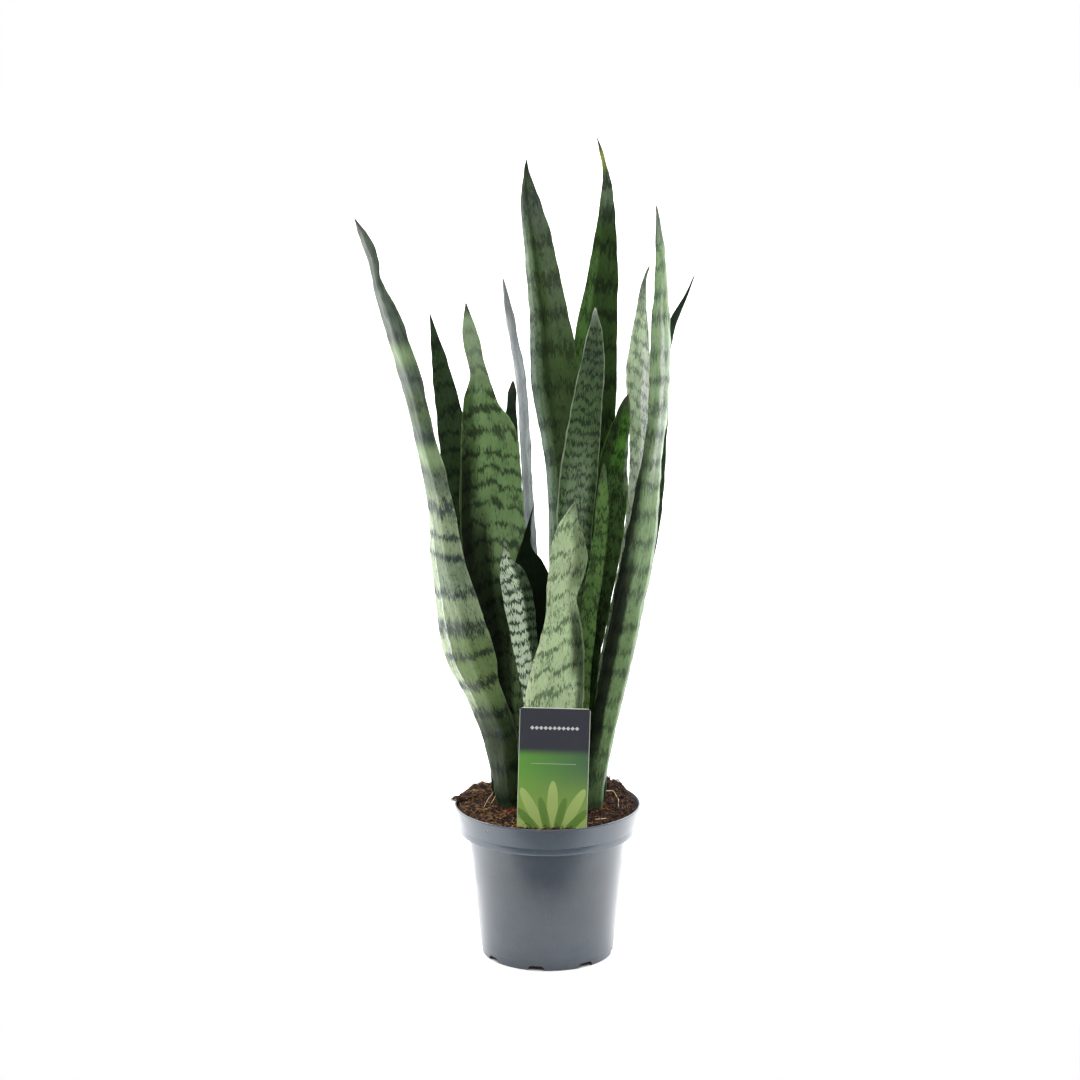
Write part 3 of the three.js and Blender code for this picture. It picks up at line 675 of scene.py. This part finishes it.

# Each leaf's colours are its ground, its fleck, its band and its margin. Sizes are in metres. A zone
# is its tint, its strength, the shares of the leaf's length that it lies between and the blur of its
# ends. A zone that is narrower than the leaf also has the shares of the width and the blur of its
# sides. Zones lie under the bands, and the zones of "over", the foot and the tip lie on them. Besides
# real colours, many zones are painted shade, painted shadow, painted highlights and painted sheen on a
# side or fold of a leaf. Every foot is painted shade at the leaf's base among the others.
usual = dict(
    slot="leaf_green", gloss=0.14, spacing=0.02, width=0.28, slope=0, vee=0, zigzag=0.002,
    count=90, fray=0.004, drift=0.5, breaks=0.6, flecks=2, clouds=1.2, softness=0.14,
    strength=0.85, edge=0.3, keel=0.2, dry="4a3c30", zones=(), over=(),
    # The usual foot: painted shade at the base of the leaf.
    foot=("22332a", 0.55, -1, 0.12, 0.08), tip=("3c423c", 0.6, 0.965, 2, 0.025),
)
leaf_looks = {
    "leaf_left_outer": dict(
        colours="788f5a 576e40 28332a b9c5a5", slot="leaf_banded", gloss=0.1, spacing=0.029, width=0.3,
        zigzag=0.0012, fray=0.009, drift=0.7, breaks=0.5, flecks=1.4, clouds=1, softness=0.4,
        strength=0.92, edge=0.1, keel=0.5,
        # Painted light here: the pale left edge of the upper half (9fac95) is a painted rim highlight.
        # The pale strip left of the fold (c6d5b3) is a painted reflection, with a painted highlight
        # along the fold (f2f6ed). The dark foot is painted shade.
        zones=(
            ("b4c4a6", 0.4, 0.36, 0.6, 0.05), ("445246", 0.95, 0.805, 2, 0.02),
            ("56665a", 0.9, 0.725, 0.768, 0.018), ("56665a", 0.85, 0.65, 0.682, 0.018),
            ("5f6f5e", 0.8, 0.572, 0.605, 0.015), ("6d8068", 0.6, 0.42, 0.475, 0.02),
            ("3f4c40", 0.5, 0.8, 2, 0.04, -1, 0.45, 0.08),
            ("9fac95", 0.5, 0.5, 2, 0.05, -1, 0.07, 0.04),
            ("c6d5b3", 0.8, 0.2, 0.55, 0.05, -1, 0.215, 0.015),
            ("f2f6ed", 0.85, 0.24, 0.52, 0.05, 0.215, 0.25, 0.012),
        ),
        over=(
            ("4b5a49", 0.5, 0.62, 2, 0.05), ("8fa97c", 0.7, 0.612, 0.645, 0.012),
            ("87a072", 0.7, 0.775, 0.802, 0.012),
        ),
        foot=("131b14", 0.82, -1, 0.222, 0.03), tip=("33312d", 0.92, 0.975, 2, 0.012)),
    "leaf_left_back": dict(
        colours="384a30 293922 19241a 566c48", slot="leaf_dark", zigzag=0.004, edge=0.1),
    "leaf_left_broad": dict(
        colours="8aa674 64814f 2b3827 a9c478", spacing=0.0175, vee=0.45, zigzag=0.006, count=60,
        fray=0.005, breaks=0.8, flecks=1.4, clouds=1.6, softness=0.48, edge=0.12,
        # Painted shade: the dark zones down the left side (2a4018, 121d0b, 16210f) widen towards the
        # foot. They are the shade of the leaf's fold and the shadow of the leaves in front. The dark
        # foot is painted shade too.
        zones=(
            ("62854a", 0.3, 0.6, 0.85, 0.04), ("2a4018", 0.75, 0.62, 0.86, 0.05, -1, 0.3, 0.08),
            ("121d0b", 0.93, -1, 0.74, 0.05, -1, 0.2, 0.06),
            ("121d0b", 0.93, -1, 0.62, 0.05, -1, 0.46, 0.08),
            ("16210f", 0.85, -1, 0.5, 0.05, -1, 0.66, 0.1),
        ),
        over=(("a3b398", 0.48, 0.87, 2, 0.05),),
        foot=("1b291d", 0.55, -1, 0.26, 0.1), tip=("49503f", 0.7, 0.975, 2, 0.012)),
    "leaf_left_slim": dict(
        # Its silvery grey colours are partly the leaf's own and partly painted sheen, since the leaf is
        # seen almost edge-on.
        colours="9aa3a4 757e81 4a5156 c9cecd", slot="leaf_silver", spacing=0.03, width=0.25, fray=0.03,
        flecks=1.5, clouds=0.8, softness=0.2, strength=0.6,
        zones=(("444b4e", 0.5, 0.1, 0.92, 0.1, 0.66, 0.84, 0.06), ("555e60", 0.5, 0.78, 2, 0.06)),
        tip=("3a423e", 0.75, 0.9, 2, 0.05)),
    "leaf_left_short": dict(
        colours="2c3a2c 243025 1a241c 566a54", slot="leaf_dark", strength=0.5),
    "leaf_middle_spike": dict(
        # Its near-black colours are painted shade: the leaf stands shadowed at the back among the
        # others.
        colours="111c0f 0e160c 0d150d 3a4d2a", slot="leaf_dark", gloss=0.03, strength=0.6),
    "leaf_middle_young": dict(
        colours="d5e5cb aac29c 293c2a d4e2c7", slot="leaf_banded", spacing=0.0098, width=0.36,
        zigzag=0.0025, count=110, clouds=0.8, softness=0.24, strength=0.95, edge=0, dry="2c3a2c",
        zones=(("2d4426", 0.95, -1, 0.92, 0.05, 0.62, 2, 0.07),),
        tip=("2c3a2c", 0.7, 0.95, 2, 0.02)),
    "leaf_back_broad": dict(
        colours="526b3c 3b512e 222e1b 687c61", spacing=0.034, width=0.3, fray=0.016, breaks=0.7,
        flecks=1.4, clouds=1.3, softness=0.38, strength=0.7, edge=0.1, keel=0.4, dry="33362f",
        # Painted light and shade: the paler strip (7f9672) and pale edge (b7cab2) down the left side
        # are painted light and a painted highlight where the leaf turns to the light. The dark line at
        # the fold (141b13) and the dark foot are painted shade.
        zones=(
            ("6f7f66", 0.5, 0.76, 0.97, 0.05, 0.55, 2, 0.12),
            ("7f9672", 0.9, 0.3, 0.93, 0.06, -1, 0.27, 0.06),
            ("b7cab2", 0.9, 0.3, 0.93, 0.06, -1, 0.13, 0.04), ("59635b", 0.6, 0.9, 0.975, 0.04),
            ("141b13", 0.45, 0.6, 2, 0.08, 0.33, 0.43, 0.06),
        ),
        foot=("22332a", 0.35, -1, 0.1, 0.08), tip=("303530", 0.8, 0.975, 2, 0.015)),
    "leaf_back_tallest": dict(
        colours="3b5429 283e1c 1a2413 70903d", slot="leaf_dark", spacing=0.03, width=0.32, fray=0.014,
        flecks=1.4, softness=0.36, strength=0.8, edge=0.1, dry="7d7c46",
        # The brighter green down the left side (628a48) is painted light shining through the leaf from
        # behind.
        zones=(
            ("628a48", 0.6, 0.1, 0.84, 0.06, -1, 0.3, 0.06), ("73876c", 0.6, 0.89, 0.95, 0.03),
            ("b0bf62", 0.8, 0.952, 2, 0.015),
        ),
        tip=("565a48", 0.75, 0.975, 2, 0.012)),
    "leaf_middle_striped": dict(
        colours="607b50 465f3c 263225 bdcab1", slot="leaf_banded", spacing=0.0105, width=0.34,
        zigzag=0.0035, count=110, fray=0.005, flecks=2.4, softness=0.2, edge=0.5, dry="9a9f94",
        zones=(
            ("4c5a4a", 0.6, 0.86, 0.97, 0.06), ("a3b795", 0.4, 0.5, 0.74, 0.08, 0.2, 0.8, 0.12),
            ("86a373", 0.3, -1, 0.55, 0.1), ("4d6343", 0.5, 0.2, 0.95, 0.07, 0.8, 2, 0.07),
        ),
        foot=("22332a", 0.3, -1, 0.1, 0.06), tip=("8c948c", 0.6, 0.975, 2, 0.015)),
    "leaf_right_inner": dict(
        colours="516e3a 38522a 1f3019 86a952", width=0.34, fray=0.012, breaks=0.9, flecks=3,
        clouds=2.2, softness=0.24, keel=0.4,
        zones=(
            ("4c7c28", 0.8, 0.84, 0.975, 0.03, 0.4, 0.92, 0.12),
            ("1f3711", 0.6, 0.8, 2, 0.04, -1, 0.4, 0.1), ("1a2a12", 0.6, -1, 0.6, 0.1),
            ("9fb094", 0.6, 0.8, 0.93, 0.04, 0.88, 2, 0.04),
        )),
    "leaf_right_pale": dict(
        colours="d3e6c2 b3cba0 6c7c69 ebf7dd", slot="leaf_silver", gloss=0.3, spacing=0.014, width=0.3,
        slope=0.5, fray=0.006, breaks=0.9, flecks=2.2, clouds=1.8, softness=0.38, strength=0.8,
        # Painted sheen: the near-white zones (f8fbf4) on the right side and the lower part, where the
        # leaf turns away from the camera.
        zones=(("f8fbf4", 0.8, -1, 0.85, 0.08, 0.56, 2, 0.06), ("f8fbf4", 0.7, -1, 0.68, 0.06)),
        tip=("4c524e", 0.8, 0.94, 2, 0.03)),
    "leaf_front_pale": dict(
        colours="cce0b2 a6c28d 55694f c6dca1", slot="leaf_pale", spacing=0.022, width=0.18,
        slope=-0.45, vee=0.2, zigzag=0.004, fray=0.008, breaks=0.7, flecks=1.9, softness=0.42,
        edge=0.12, dry="6d7a52",
        # Painted light and shade: the pale left rim (c9d8ae) is a painted rim highlight. The dark zones
        # down the right side (4a5e38, 35452a, 35482a) are painted shade where the leaf folds away from
        # the light.
        zones=(
            ("c9d8ae", 0.45, -1, 0.9, 0.06, -1, 0.1, 0.05),
            ("4a5e38", 0.75, 0.74, 0.95, 0.05, 0.62, 2, 0.12),
            ("35452a", 0.92, 0.5, 0.7, 0.05, 0.72, 2, 0.09),
            ("35482a", 0.9, -1, 0.6, 0.06, 0.86, 2, 0.05),
        )),
    "leaf_right_outer": dict(
        colours="92aa7f 6a885e 4a5a48 c1cfb1", slot="leaf_pale", gloss=0.1, spacing=0.025, width=0.3,
        fray=0.012, breaks=0.5, flecks=1.3, clouds=0.9, softness=0.45, strength=0.8, edge=0,
        keel=0.5,
        # Painted light and shade: the pale upper right (c9d8c4) is painted sheen and the bright streak
        # (e4e9de) is a painted highlight. The darker lower part (607a4b) and the near-black left side
        # (3d5130, 111a0d), where the left half turns away from the light, are painted shade. So is the
        # dark foot.
        zones=(
            ("c9d8c4", 0.6, 0.6, 0.8, 0.05, 0.35, 2, 0.08),
            ("e4e9de", 0.5, 0.6, 0.84, 0.08, 0.3, 0.42, 0.04), ("607a4b", 0.75, -1, 0.4, 0.08),
            ("5b7049", 0.8, -1, 0.62, 0.05, 0.86, 2, 0.05),
            ("3d5130", 0.7, 0.12, 0.68, 0.05, -1, 0.2, 0.06),
            ("111a0d", 0.93, 0.14, 0.62, 0.05, -1, 0.11, 0.05),
            ("111a0d", 0.93, 0.14, 0.46, 0.06, -1, 0.26, 0.05),
        ),
        foot=("2c3d2e", 0.45, -1, 0.12, 0.06), tip=("4a504c", 0.8, 0.955, 2, 0.02)),
    "leaf_right_hindmost": dict(
        colours="2c4228 243621 18261b 60804c", slot="leaf_dark", strength=0.5,
        tip=("1c231e", 0.8, 0.9, 2, 0.05)),
    "leaf_right_short": dict(
        colours="6b8c4d 486838 344628 8ba470", spacing=0.013, zigzag=0.005, count=120, breaks=0.9,
        flecks=3, clouds=2.2, softness=0.22, edge=0, dry="3f5530"),
}

# A zone of a leaf: 1 between two places of the leaf's map, and 0 outside them.
zone, given, result = new_group(
    "leaf_zone", dict.fromkeys(("Share", "From", "To", "Blur"), "Vector"), ("Reach",))
reached = []
for border in ("From", "To"):
    low, high = (put(zone, "VectorMath", {0: given[border], 1: given["Blur"]}, operation=way)[0]
                 for way in ("SUBTRACT", "ADD"))
    step = put(zone, "MapRange", {6: given["Share"], 7: low, 8: high}, data_type="FLOAT_VECTOR",
               interpolation_type="SMOOTHSTEP")[1]
    reached.append(axes(zone, step))
inside = [calc(zone, "SUBTRACT", reached[0][axis], reached[1][axis]) for axis in (0, 1)]
feed(zone, result, {"Reach": calc(zone, "MULTIPLY", *inside)})


def zoned(tree, place, colour, zones):
    """Lays zones on a colour. place is the share of the leaf's width and of its length."""
    for tint, strength, low, high, blur, *sides in zones:
        left, right, side_blur = sides or (-1, 2, 0.1)
        spread = {"From": (left, low, 0), "To": (right, high, 0), "Blur": (side_blur, blur, 0.1)}
        reach = put(tree, "Group", {"Share": place, **spread}, node_tree=zone)["Reach"]
        colour = tinted(tree, colour, (reach, strength, tint))
    return colour


def leaf_material(name, look, seed):
    """Ground and flecks, zones, bands, the foot and the tip, and at last the margin and the awl."""
    material, tree = new_material(name, Specular_IOR_Level=look["gloss"])[:2]
    ground, fleck, band, margin = look["colours"].split()
    band_tint = [min(1, dark / pale) for dark, pale in zip(paint(band), paint(ground))]
    run, share, edge = (put(tree, "UVMap", uv_map=leaf_map)[0] for leaf_map in leaf_maps)
    share, edge = axes(tree, share), axes(tree, edge)
    controls = {socket: look[socket.lower()] for socket in band_controls}
    pattern = put(tree, "Group", {"Run": run, "Seed": seed, **controls}, node_tree=bands)
    streaks, mottle = pattern["Streaks"], pattern["Mottle"]
    shade = summed(
        tree, 0.0, (eased(tree, mottle, 0.42, 0.58), 0.5), (eased(tree, streaks, 0.4, 0.6), 0.5))
    colour = tinted(tree, ground, (shade, fleck_share, fleck))
    wavering = summed(tree, share["X"], (calc(tree, "SUBTRACT", mottle, 0.5), zone_waver))
    spot = put(tree, "CombineXYZ", {0: wavering, 1: share["Y"]})[0]
    # Among the zones are painted shade, painted shadow, painted highlights and painted sheen.
    colour = zoned(tree, spot, colour, look["zones"])
    banding = {0: calc(tree, "MULTIPLY", pattern["Bands"], look["strength"]), 6: colour, 7: band_tint}
    colour = put(tree, "Mix", banding, data_type="RGBA", blend_type="MULTIPLY")[2]
    # The foot laid here is painted shade at the leaf's base.
    colour = zoned(tree, spot, colour, (*look["over"], look["foot"], look["tip"]))
    tone = summed(tree, 1 - leaf_tone * 0.8, (streaks, leaf_tone * 0.6), (mottle, leaf_tone))
    colour = put(tree, "HueSaturation", {"Value": tone, "Color": colour})[0]
    rim = faded(tree, edge["X"], *margin_fade)
    dry = faded(tree, edge["Y"], *awl_fade)
    colour = tinted(tree, colour, (rim, look["edge"], margin), (dry, 0.85, look["dry"]))
    relief = summed(tree, streaks, (pattern["Ridges"], 3.0), (mottle, 0.6))
    rough = summed(tree, 0.34, (streaks, 0.14), (dry, 0.3))
    dress(tree, colour, relief, 0.4, 0.0006, Roughness=rough)
    return material


def beside(corner):
    return [edge.other_vert(corner) for edge in corner.link_edges]


def sections(mesh):
    """The leaf's sections from root to tip. Each lists its corners round the blade, front face first
    from the left margin to the right, and then the back face from right to left."""
    mesh.verts.index_update()
    foot = min(corner.co.z for corner in mesh.verts)
    ring = [corner for corner in mesh.verts if corner.co.z < foot + 1e-5]
    rings, seen = [], set()
    while ring:
        rings.append(ring)
        seen.update(ring)
        reached = {other for corner in ring for other in beside(corner)} - seen
        ring = sorted(reached, key=lambda corner: corner.index)
    order = [rings[1][0]]
    while len(order) < leaf_corners:
        order.append(next(
            corner for corner in beside(order[-1]) if corner in rings[1] and corner not in order))
    # The shortest pair of opposite steps are the two margins.
    steps = [(order[i].co - order[i - 1].co).length for i in range(leaf_corners)]
    pairs = [steps[i] + steps[i - leaf_half] for i in range(leaf_half)]
    first = pairs.index(min(pairs))
    rings[1] = order[first:] + order[:first]
    for i in (0, *range(2, len(rings))):
        before = rings[1 if i == 0 else i - 1]
        options = {corner: set(beside(corner)) & set(rings[i]) for corner in before}
        found = {}
        while options:
            free = {corner: left - set(found.values()) for corner, left in options.items()}
            sure = min(free, key=lambda corner: (len(free[corner]), corner.index))
            found[sure] = free[sure].pop()
            del options[sure]
        rings[i] = [found[corner] for corner in before]
    if sum(ring[0].co.x - ring[leaf_half - 1].co.x for ring in rings) > 0:
        rings = [ring[leaf_half - 1::-1] + ring[:leaf_half - 1:-1] for ring in rings]
    if sum(ring[leaf_half // 2].co.y - ring[-1 - leaf_half // 2].co.y for ring in rings) > 0:
        rings = [ring[::-1] for ring in rings]
    return rings


def add_leaf_maps(mesh, rings):
    """Gives every corner its place on the leaf: metres across and along it, the same as shares of the
    whole, and metres to the nearest margin and to the tip."""
    middles = [sum((corner.co for corner in ring), Vector()) / leaf_corners for ring in rings]
    along, total = [0], 0
    for before, after in zip(middles, middles[1:]):
        total += (after - before).length
        along.append(total)
    spots = {}
    for ring, run in zip(rings, along):
        for face in (ring[:leaf_half], ring[:leaf_half - 1:-1]):
            reach = [0]
            for before, after in zip(face, face[1:]):
                reach.append(reach[-1] + (after.co - before.co).length)
            width = reach[-1]
            for corner, far in zip(face, reach):
                spots[corner] = ((far - width / 2, run), (far / width, run / total),
                                 (min(far, width - far), total - run))
    for i, leaf_map in enumerate(leaf_maps):
        layer = mesh.loops.layers.uv.new(leaf_map)
        for face in mesh.faces:
            for loop in face.loops:
                loop[layer].uv = spots[loop.vert][i]


ripple = settle(bpy.data.textures.new("leaf ripple", "CLOUDS"), noise_scale=ripple_size, noise_depth=1)
for seed, (name, look) in enumerate(leaf_looks.items()):
    look = {**usual, **look}
    blade = bmesh.new()
    blade.from_mesh(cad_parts[name].data)
    bmesh.ops.remove_doubles(blade, verts=blade.verts, dist=touching)
    crease = blade.edges.layers.float.new("crease_edge")
    rings = sections(blade)
    at = {corner: (i, j) for i, ring in enumerate(rings) for j, corner in enumerate(ring)}
    diagonals, creases = [], {}
    for edge in blade.edges:
        (i, j), (k, m) = (at[corner] for corner in edge.verts)
        gap = (j - m) % leaf_corners
        if i != k and gap:
            diagonals.append(edge)
        elif i == k and gap not in (1, leaf_corners - 1) and j + m != leaf_corners - 1:
            diagonals.append(edge)
        elif i == k == len(rings) - 1:
            creases[edge] = 1
        elif i != k and j % leaf_half in (0, leaf_half - 1):
            creases[edge] = margin_crease
        elif i != k and j % leaf_half == leaf_half // 2:
            creases[edge] = look["keel"]
    bmesh.ops.dissolve_edges(blade, edges=diagonals, use_verts=False)
    point = sum((corner.co for corner in rings[-1]), Vector()) / leaf_corners
    for corner in rings[-1]:
        corner.co = point.lerp(corner.co, tip_share)
    add_leaf_maps(blade, rings)
    for edge, sharpness in creases.items():
        edge[crease] = sharpness
    material = leaf_material(name, look, seed * seed_step)
    piece = finished(name.replace("leaf_", "blade_"), blade, material, name)
    settle(piece.modifiers.new("smooth blade", "SUBSURF"), levels=leaf_smoothing,
           render_levels=leaf_smoothing, uv_smooth="NONE", use_creases=True)
    settle(piece.modifiers.new("rippled skin", "DISPLACE"), texture=ripple, texture_coords="LOCAL",
           strength=ripple_rise, mid_level=0.5)

# Label: a printed plastic card on a stake that is pushed into the mix. It keeps its solid's skin
# with eased edges. The print is a plain dark head over a green field with a fan of blades.

label_side = 0.0032
label_roll = math.radians(1.6)
label_width = 0.063
label_top = 0.248
label_shoulder = 0.125
label_edge = 0.0006
label_easing = 0.0002
head_height = 0.0405
head_blur = (-0.004, 0.005)
rule_drop = 0.011
rule_half_size = (0.02, 0.00022)
dots_rise = 0.022
dots_half_row = 0.022
dot_spacing = 0.004
dot_size = 0.0019
fan_drop = 0.006
fan_spread = 13.0
# Each row of the fan is its reach, its turn and its colour.
fan_rows = ((0.062, 0.0, "b9d07c"), (0.048, 0.24, "648c3c"))

card = bmesh.new()
card.from_mesh(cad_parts["label"].data)
bmesh.ops.remove_doubles(card, verts=card.verts, dist=touching)
bmesh.ops.dissolve_limit(card, angle_limit=0.01, verts=card.verts, edges=card.edges)
upright = (Matrix.Translation((0, 0, label_shoulder)) @ Matrix.Rotation(-label_roll, 4, "Y")
           @ Matrix.Translation((-label_side, 0, -label_shoulder)))
card_map = card.loops.layers.uv.new("CardFace")
for face in card.faces:
    for loop in face.loops:
        spot = upright @ loop.vert.co
        loop[card_map].uv = (spot.x, spot.z)

label_material, tree, place = new_material("printed label")
side, height = axes(tree, put(tree, "UVMap", uv_map="CardFace")[0])[:2]
from_middle = calc(tree, "ABSOLUTE", side)
below_head = calc(tree, "SUBTRACT", label_top - head_height, height)
field_share = calc(tree, "DIVIDE", below_head, label_top - head_height - label_shoulder)
left_share = calc(tree, "SUBTRACT", 0.5, calc(tree, "DIVIDE", side, label_width))
field = mixed(tree, left_share, "4d6f4e", "66a040")
field = mixed(tree, eased(tree, field_share, 0.1, 0.8), field, "96b656")
fan_z = calc(tree, "SUBTRACT", height, label_shoulder - fan_drop)
fan_angle = calc(tree, "ARCTAN2", side, fan_z)
fan_place = put(tree, "CombineXYZ", {0: side, 1: fan_z})[0]
from_root = put(tree, "VectorMath", {0: fan_place}, operation="LENGTH")["Value"]
for row_reach, row_turn, tint in fan_rows:
    swing = calc(tree, "MULTIPLY", calc(tree, "ADD", fan_angle, row_turn), fan_spread)
    petal = summed(tree, 0.5, (calc(tree, "COSINE", swing), 0.5))
    limit = calc(tree, "MULTIPLY", calc(tree, "POWER", petal, 0.6), row_reach)
    inside = calc(tree, "SUBTRACT", limit, from_root)
    field = tinted(tree, field, (eased(tree, inside, 0.0, 0.0008), 0.8, tint))
from_rule = calc(tree, "ABSOLUTE", calc(tree, "SUBTRACT", below_head, rule_drop))
rule = calc(tree, "MULTIPLY", calc(tree, "LESS_THAN", from_middle, rule_half_size[0]),
            calc(tree, "LESS_THAN", from_rule, rule_half_size[1]))
field = tinted(tree, field, (rule, 0.7, "d5dcc2"))
head = mixed(tree, eased(tree, below_head, *head_blur), "3b3b45", field)
beside_dot = calc(tree, "PINGPONG", side, dot_spacing / 2)
from_row = calc(tree, "ABSOLUTE", calc(tree, "ADD", below_head, dots_rise))
dot = calc(tree, "MULTIPLY", calc(tree, "LESS_THAN", from_middle, dots_half_row),
           calc(tree, "LESS_THAN", calc(tree, "ADD", beside_dot, from_row), dot_size))
to_side = calc(tree, "SUBTRACT", label_width / 2, from_middle)
to_edge = calc(tree, "MINIMUM", to_side, calc(tree, "SUBTRACT", label_top, height))
border = faded(tree, to_edge, label_edge * 0.6, label_edge)
colour = tinted(tree, head, (dot, 0.85, "e6e6e2"), (border, 0.9, "c9cfbd"))
marks = put(tree, "Group", {"Place": place, "Size": 2.0}, node_tree=handling)
rough = summed(tree, 0.28, (marks["Rubs"], 0.15))
dress(tree, colour, marks["Scratches"], 0.15, 0.0003, Roughness=rough)
label = finished("stake_label", card, label_material, "label")
ease_edges(label, label_easing, 30)

# Studio: a plain pale floor in soft white surroundings that are brightest behind the plant and above
# it and dim behind the camera, with a broad soft light straight above.

floor_reach = 9.0
floor_front = -0.192
front_glow = 0.28
back_glow = 2.6
top_glow = 2.4
glow_behind = (-0.35, 0.5)
glow_above = (0.35, 0.85)
overhead_strength = 0.4
overhead_spread = math.radians(80)

floor_mesh = bmesh.new()
bmesh.ops.create_grid(floor_mesh, x_segments=1, y_segments=1, size=floor_reach)
bmesh.ops.translate(floor_mesh, verts=floor_mesh.verts, vec=(0, floor_reach + floor_front, 0))
floor = in_scene("floor", floor_mesh)
floor_material, tree, place = new_material("pale floor", Roughness=0.8)
colour = mixed(tree, grains(tree, place, (3, 3, 3)), "f4f4f4", "f7f7f7")
feed(tree, tree.nodes["Principled BSDF"], {"Base Color": colour})
floor.data.materials.append(floor_material)

world = bpy.data.worlds.new("studio")
bpy.context.scene.world = world
world.use_nodes = True
tree = world.node_tree
towards = axes(tree, put(tree, "TexCoord")["Generated"])
glow = summed(tree, front_glow, (eased(tree, towards["Y"], *glow_behind), back_glow),
              (eased(tree, towards["Z"], *glow_above), top_glow))
seen = put(tree, "LightPath")["Is Camera Ray"]
glow = summed(tree, seen, (glow, calc(tree, "SUBTRACT", 1.0, seen)))
feed(tree, tree.nodes["Background"], {"Color": (1, 1, 1, 1), "Strength": glow})

overhead = settle(bpy.data.lights.new("overhead light", "SUN"), energy=overhead_strength,
                  angle=overhead_spread)
in_scene("overhead light", overhead).location = (0, 0, 2)

# Camera: a long lens two and a half metres in front of the plant. It stands a little higher than the
# leaves and looks down at them, as the photograph does.

camera_place = (-0.007, -2.5, 0.901)
camera_tilt = math.radians(78.4)
camera_lens = 94.27

camera_data = settle(bpy.data.cameras.new("camera"), sensor_width=36, lens=camera_lens)
camera = in_scene("camera", camera_data)
camera.location = camera_place
camera.rotation_euler = (camera_tilt, 0, 0)
bpy.context.scene.camera = camera
bpy.context.scene.view_settings.view_transform = "Standard"
